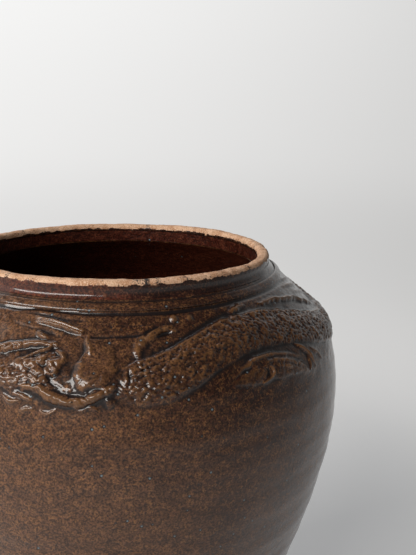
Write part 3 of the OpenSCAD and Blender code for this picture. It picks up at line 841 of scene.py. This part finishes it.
foreleg = blank_sheet()
roll_on(foreleg, [(11.4, 41.6, 1.6, 0.6), (10.8, 35.6, 3.4, 1.1), (12.4, 30.8, 3.8, 1.4),
                  (15.2, 27, 3.2, 1.4), (18.8, 24.4, 2.4, 1.2), (21.4, 25.6, 1.2, 0.7)], 0.9)
roll_on(foreleg, [(13.4, 29.4, 0.8, 1.2), (15, 25.6, 1.2, 1.9), (17.6, 22.8, 1.2, 1.8),
                  (21, 22.2, 0.8, 0.8)])
score(foreleg, [(15.6, 29.4, 1, 0.5), (17.4, 27, 1.9, 1.3), (19.6, 26, 1.2, 0.6)])
foreleg = np.maximum(foreleg, 0) * (0.75 + 0.5 * lumpy(3.2, 121))
button_on(foreleg, 21.8, 17.6, 3.0, 1.8)
button_on(foreleg, 26.4, 17.8, 2.4, 1.0)
button_on(foreleg, 23.5, 36, 2.0, 0.9)
pressed_on("foreleg", foreleg, 0.25)

haunch = blank_sheet()
roll_on(haunch, [(32.6, 63, 2, 0.5), (36, 60.6, 5, 1.0), (40, 58.6, 7.6, 1.3), (45, 58.6, 8, 1.3),
                 (50, 61, 6.4, 1.2), (54, 65, 4, 1.0), (57, 69.4, 1.4, 0.6)], 0.7)
swell(haunch, [(32.4, 59.4, 0.8, 0.4), (35, 55.4, 1.3, 0.8), (38.6, 52.2, 1.5, 1.2), (42.4, 51, 1.5, 1.3),
               (46.6, 52.2, 1.5, 1.2), (51, 55.2, 1.4, 1.1), (55.4, 59.4, 1, 0.6)])
swell(haunch, [(43, 54.6, 0.8, 0.4), (47.6, 56.4, 1.2, 0.9), (52, 60.4, 1.2, 0.8), (56, 65, 0.8, 0.4)])
swell(haunch, [(45.6, 58.6, 0.8, 0.3), (49, 60.4, 1.1, 0.7), (53.4, 65.6, 0.9, 0.4)])
swell(haunch, [(42.8, 57.6, 0.8, 0.5), (43.8, 60.6, 1.3, 1.5), (42.8, 63.8, 1.3, 1.4), (40, 66, 0.8, 0.6)])
score(haunch, [(34, 60, 0.9, 0.3), (35.4, 57.6, 1.8, 0.8), (37.6, 55.6, 1, 0.4)])
score(haunch, [(41.2, 57.6, 0.9, 0.5), (42.1, 60.6, 1.3, 0.9), (41.2, 63.2, 0.8, 0.5)])
haunch = np.maximum(haunch, 0) * (0.8 + 0.4 * lumpy(3, 125))
pressed_on("haunch", haunch, 0.25)

hind_claws = blank_sheet()
roll_on(hind_claws, [(55.2, 50.0, 1, 0.7), (56.6, 53.4, 1.7, 1.9), (58.2, 58.0, 1.9, 2.3),
                     (59.6, 63.4, 1.8, 2.1), (60.8, 69.4, 1, 0.7)])
roll_on(hind_claws, [(57.8, 60.6, 0.9, 0.6), (58.4, 65, 1.5, 1.6), (57.8, 69.4, 0.9, 0.6)])
roll_on(hind_claws, [(61, 57.6, 0.9, 0.6), (63.6, 62.4, 1.6, 1.3), (65.8, 67.4, 0.9, 0.6)])
pressed_on("hind_claws", hind_claws, 0.25)


# Tails and pearls
# The tail curls over at its end. In front of each dragon's snout floats the flaming pearl that it chases.
tail = blank_sheet()
roll_on(tail, [(118.6, 37.5, 6.4, 2), (124, 38.8, 5.6, 2), (128.4, 43, 4.8, 1.9), (130.2, 49.4, 3.8, 1.8),
               (127.6, 55, 3, 1.6), (122.6, 57.6, 2.3, 1.3), (117.4, 57.2, 1, 0.7)], 0.9)
roll_on(tail, [(130.4, 37.6, 1.1, 0.8), (134, 34.2, 2.2, 1.5), (136.4, 28.8, 1, 0.6)])
pressed_on("tail", tail)

pearl = blank_sheet()
button_on(pearl, -37, 45, 6, 2.8, 0.8)
roll_on(pearl, [(-35, 38.6, 1.1, 0.8), (-35.6, 34.2, 2.3, 1.7), (-33.2, 29.4, 1, 0.6)])
roll_on(pearl, [(-38.4, 38, 1.1, 0.8), (-39.6, 32.8, 2.4, 1.8), (-37.4, 25.8, 1, 0.6)])
roll_on(pearl, [(-41, 40.4, 1.1, 0.8), (-43.4, 36.4, 2.1, 1.6), (-43, 30.6, 1, 0.6)])
pressed_on("pearl", pearl)


# Glaze
# Slip wiped round each piece of relief joins it to the wall in one surface. The jar was then dipped
# and fired: the glaze ran off the ridges and pooled dark in every hollow.
def softened(field, reach):
    """The sheet smoothed over a distance in millimetres."""
    for axis, step in ((0, DOWN_STEP), (1, ANGLE_STEP * 2.3)):
        far = round(3 * reach / step)
        weights = np.exp(-0.5 * (np.arange(-far, far + 1) * step / reach) ** 2)
        weights = weights / weights.sum()
        field = sum(w * np.roll(field, k, axis) for k, w in zip(range(-far, far + 1), weights))
    return field


melted = softened(marks + relief, 0.30)
ground = unevenness(sheet_angle, height_at(sheet_down))
sheet_points = wall_point(sheet_angle, height_at(sheet_down), ground + melted)
round_it = np.roll(sheet_points, -1, 1) - np.roll(sheet_points, 1, 1)
sheet_normals = np.cross(round_it, -np.gradient(sheet_points, axis=0))
sheet_normals /= np.linalg.norm(sheet_normals, axis=-1, keepdims=True)


def reshaped(piece, points, corner_normals):
    piece.data.vertices.foreach_set("co", (points * MM).astype(np.float32).ravel())
    piece.data.update()
    piece.data.normals_split_custom_set(corner_normals.astype(np.float32))


for piece, quads, crown, angle, down, laid, on_top in laid_pieces.values():
    glazed = from_sheet(melted, angle, down)
    uppermost = laid > from_sheet(relief, angle, down) - 0.05
    height = np.where(uppermost, PROUD, -0.25)
    height = np.where(laid > THIN_EDGE, height, -BURIED / 2)
    height = np.where(on_top, height, -BURIED - 0.1)
    ground = unevenness(angle, height_at(down))
    points = wall_point(angle, height_at(down), ground + glazed + height)
    corner_normals = np.repeat(flat_normals(points[quads]), 4, 1)
    normals = np.stack([from_sheet(sheet_normals[..., i], angle, down) for i in range(3)], -1)
    corner_normals[:crown] = normals[quads[:crown]]
    reshaped(piece, points, corner_normals.reshape(-1, 3))

covered = np.clip((relief - 0.25) / 0.1, 0, 1)
joined = melted - 0.5 * covered
for piece, angle, heights, ground, inside in wall_rings.values():
    if piece.name == "lower_thrown_wall":
        continue
    down = np.broadcast_to(down_at(heights), ground.shape)
    angles = np.broadcast_to(angle, ground.shape)
    fade = np.clip((SHEET_DOWN - 4 - down) / 6, 0, 1) * np.clip((down - 3) / 3, 0, 1)
    outside = wall_point(angle, heights, ground + fade * from_sheet(joined, angles, down))
    smooth = wall_point(angle, heights, ground + fade * from_sheet(melted, angles, down))
    quads = np.zeros(len(piece.data.loops), np.int32)
    piece.data.loops.foreach_get("vertex_index", quads)
    points, _ = ring_corners([outside, inside], quads.reshape(-1, 4))
    _, corner_normals = ring_corners([smooth, inside], quads.reshape(-1, 4))
    reshaped(piece, points, corner_normals)

surface_sheet = melted
on_cordon = np.clip(1 - ((sheet_down - cordon_middle) / cordon_half) ** 4, 0, 1)
surface_sheet = surface_sheet + cordon_high * on_cordon ** 0.6
pool = 0.6 * (surface_sheet - softened(surface_sheet, 1.4))
pool = pool + 0.3 * (surface_sheet - softened(surface_sheet, 4))
thick_drops = blank_sheet()
for dragon_at in (0, 180):
    button_on(thick_drops, dragon_at + 4.2, 65.8, 4.4, 0.5)
pool -= thick_drops
pool *= np.clip(sheet_down / 5, 0, 1) * np.clip((SHEET_DOWN - 4 - sheet_down) / 8, 0, 1)
for piece, angle, down in spots_of.values():
    thin = np.where(down < SHEET_DOWN - 5, from_sheet(pool, angle, np.clip(down, 0, SHEET_DOWN - 2)), 0)
    values = np.zeros(len(piece.data.vertices), np.float32)
    values[:thin.size] = thin.ravel()
    piece.data.attributes.new("pool", "FLOAT", "POINT").data.foreach_set("value", values)


def fired_tone_and_painted_light(angle, height):
    """How pale the glaze is made, from 0 to 1, in broad soft patches round the jar. The patches on the
    front left are painted light and sheen from the window; the others are the tone the fire left.
    """
    tone_and_painted_light = 0 * angle
    # Patches by angle, height, width, height spread and paleness. The first three, on the front left, are
    # painted light from the window.
    for at, level, wide, tall, pale in (
        (-14, 232, 24, 62, 0.85), (-22, 318, 20, 16, 0.5), (-4, 170, 40, 50, 0.5), (62, 214, 16, 50, 0.3),
        (100, 250, 20, 40, 0.5), (150, 220, 26, 60, 0.8), (205, 180, 30, 60, 0.6), (250, 250, 22, 40, 0.7),
        (290, 200, 20, 60, 0.5),
    ):
        apart = (angle - at + 180) % 360 - 180
        tone_and_painted_light = tone_and_painted_light + pale * np.exp(-0.5 * (apart / wide) ** 2 - 0.5 * ((height - level) / tall) ** 2)
    return tone_and_painted_light


# Every glazed piece gets the pale patches as its tone attribute, with painted window light on the front
# left.
for piece in [placed[0] for placed in spots_of.values()] + [neck_ring, cordon, rim_coil]:
    points = np.zeros(3 * len(piece.data.vertices), np.float32)
    piece.data.vertices.foreach_get("co", points)
    x, y, z = points.reshape(-1, 3).T / MM
    values = fired_tone_and_painted_light(np.degrees(np.arctan2(x, -y)), z).astype(np.float32)
    piece.data.attributes.new("tone_and_painted_light", "FLOAT", "POINT").data.foreach_set("value", values)


# Stage
# A pale floor that sweeps up into a pale wall all round, with painted window light that makes it glow
# brightest behind the jar on the window's side, one window in front on the left, a soft light behind, a dim
# sky, and the photographer's camera.
floor_points, floor_faces = [], []
sweep = [(0.001, 0), (0.35, 0), (0.5, 0.012), (0.7, 0.06), (0.9, 0.14), (1.2, 0.3), (1.6, 0.6), (2.0, 1.0),
         (2.4, 1.6), (2.7, 2.3), (2.85, 3.4)]
segments = 96
for radius, level in sweep:
    for i in range(segments):
        turn = 2 * np.pi * i / segments
        floor_points.append((radius * np.sin(turn), -radius * np.cos(turn), level))
for ring in range(len(sweep) - 1):
    for i in range(segments):
        a, b = ring * segments + i, ring * segments + (i + 1) % segments
        floor_faces.append((a, a + segments, b + segments, b))
floor_mesh = bpy.data.meshes.new("floor_and_wall")
floor_mesh.from_pydata(floor_points, [], floor_faces)
floor_mesh.polygons.foreach_set("use_smooth", np.ones(len(floor_faces), bool))
floor = bpy.data.objects.new("floor_and_wall", floor_mesh)
bpy.context.scene.collection.objects.link(floor)
paper, tree, surface, place = new_finish("pale_paper")
away = node_of(tree, "ShaderNodeVectorMath", operation="LENGTH")
link(tree, place, away.inputs[0])
distance = away.outputs["Value"]
link(tree, blended(tree, ramp(tree, distance, 0.4, 1.1), (0.72, 0.72, 0.72), (0.14, 0.14, 0.14)),
     surface.inputs["Base Color"])
surface.inputs["Roughness"].default_value = 0.9
surface.inputs["Specular IOR Level"].default_value = 0.1
# Painted light: for the camera and in reflections the paper glows, brightest behind the jar on the window's
# side and further out, as if the window lit it.
towards = node_of(tree, "ShaderNodeVectorMath", operation="DOT_PRODUCT")
towards.inputs[1].default_value = (-0.75, 0.66, 0)
link(tree, place, towards.inputs[0])
painted_window_glow = reckon(tree, "MULTIPLY", ramp(tree, towards.outputs["Value"], -1.9, 2.2, 0.10, 0.90),
               ramp(tree, distance, 0.3, 1.3, 0.45, 1))
rays = tree.nodes.new("ShaderNodeLightPath").outputs
seen = reckon(tree, "MAXIMUM", reckon(tree, "MAXIMUM", rays["Is Camera Ray"], rays["Is Glossy Ray"]),
              rays["Is Transmission Ray"])
surface.inputs["Emission Color"].default_value = (1, 0.995, 0.985, 1)
link(tree, reckon(tree, "MULTIPLY", seen, painted_window_glow), surface.inputs["Emission Strength"])
floor_mesh.materials.append(paper)

world = bpy.data.worlds.new("dim_sky")
bpy.context.scene.world = world
world.use_nodes = True
sky = world.node_tree.nodes["Background"]
sky.inputs["Color"].default_value = (0.93, 0.96, 1.0, 1)
sky.inputs["Strength"].default_value = 0.12


def soft_light(name, place, target, width, depth, power, colour):
    lamp = bpy.data.lights.new(name, "AREA")
    lamp.shape, lamp.size, lamp.size_y = "RECTANGLE", width, depth
    lamp.energy, lamp.color = power, colour
    stand = bpy.data.objects.new(name, lamp)
    bpy.context.scene.collection.objects.link(stand)
    stand.location = place
    stand.rotation_mode = "QUATERNION"
    stand.rotation_quaternion = (Vector(target) - Vector(place)).to_track_quat("-Z", "Y")
    return stand


soft_light("window", (-1.0, -1.12, 1.2), (0, 0, 0.3), 1.8, 0.5, 38, (1.0, 0.97, 0.93))
soft_light("light_behind", (-0.6, 1.5, 1.9), (0, 0, 0.2), 1.4, 1.2, 12, (0.93, 0.96, 1.0))

camera_data = bpy.data.cameras.new("camera")
camera = bpy.data.objects.new("camera", camera_data)
bpy.context.scene.collection.objects.link(camera)
bpy.context.scene.camera = camera
camera_data.sensor_width = 36
camera_data.lens = 54.1
camera.location = (0.0628, -0.5687, 0.4445)
camera.rotation_mode = "QUATERNION"
pitch, roll = np.radians(12.86), np.radians(0.82)
look = Vector((0, np.cos(pitch), -np.sin(pitch)))
upright = look.to_track_quat("-Z", "Y")
camera.rotation_quaternion = upright @ Quaternion((0, 0, 1), roll)
camera_data.clip_start, camera_data.clip_end = 0.01, 30

bpy.context.scene.view_settings.view_transform = "Standard"
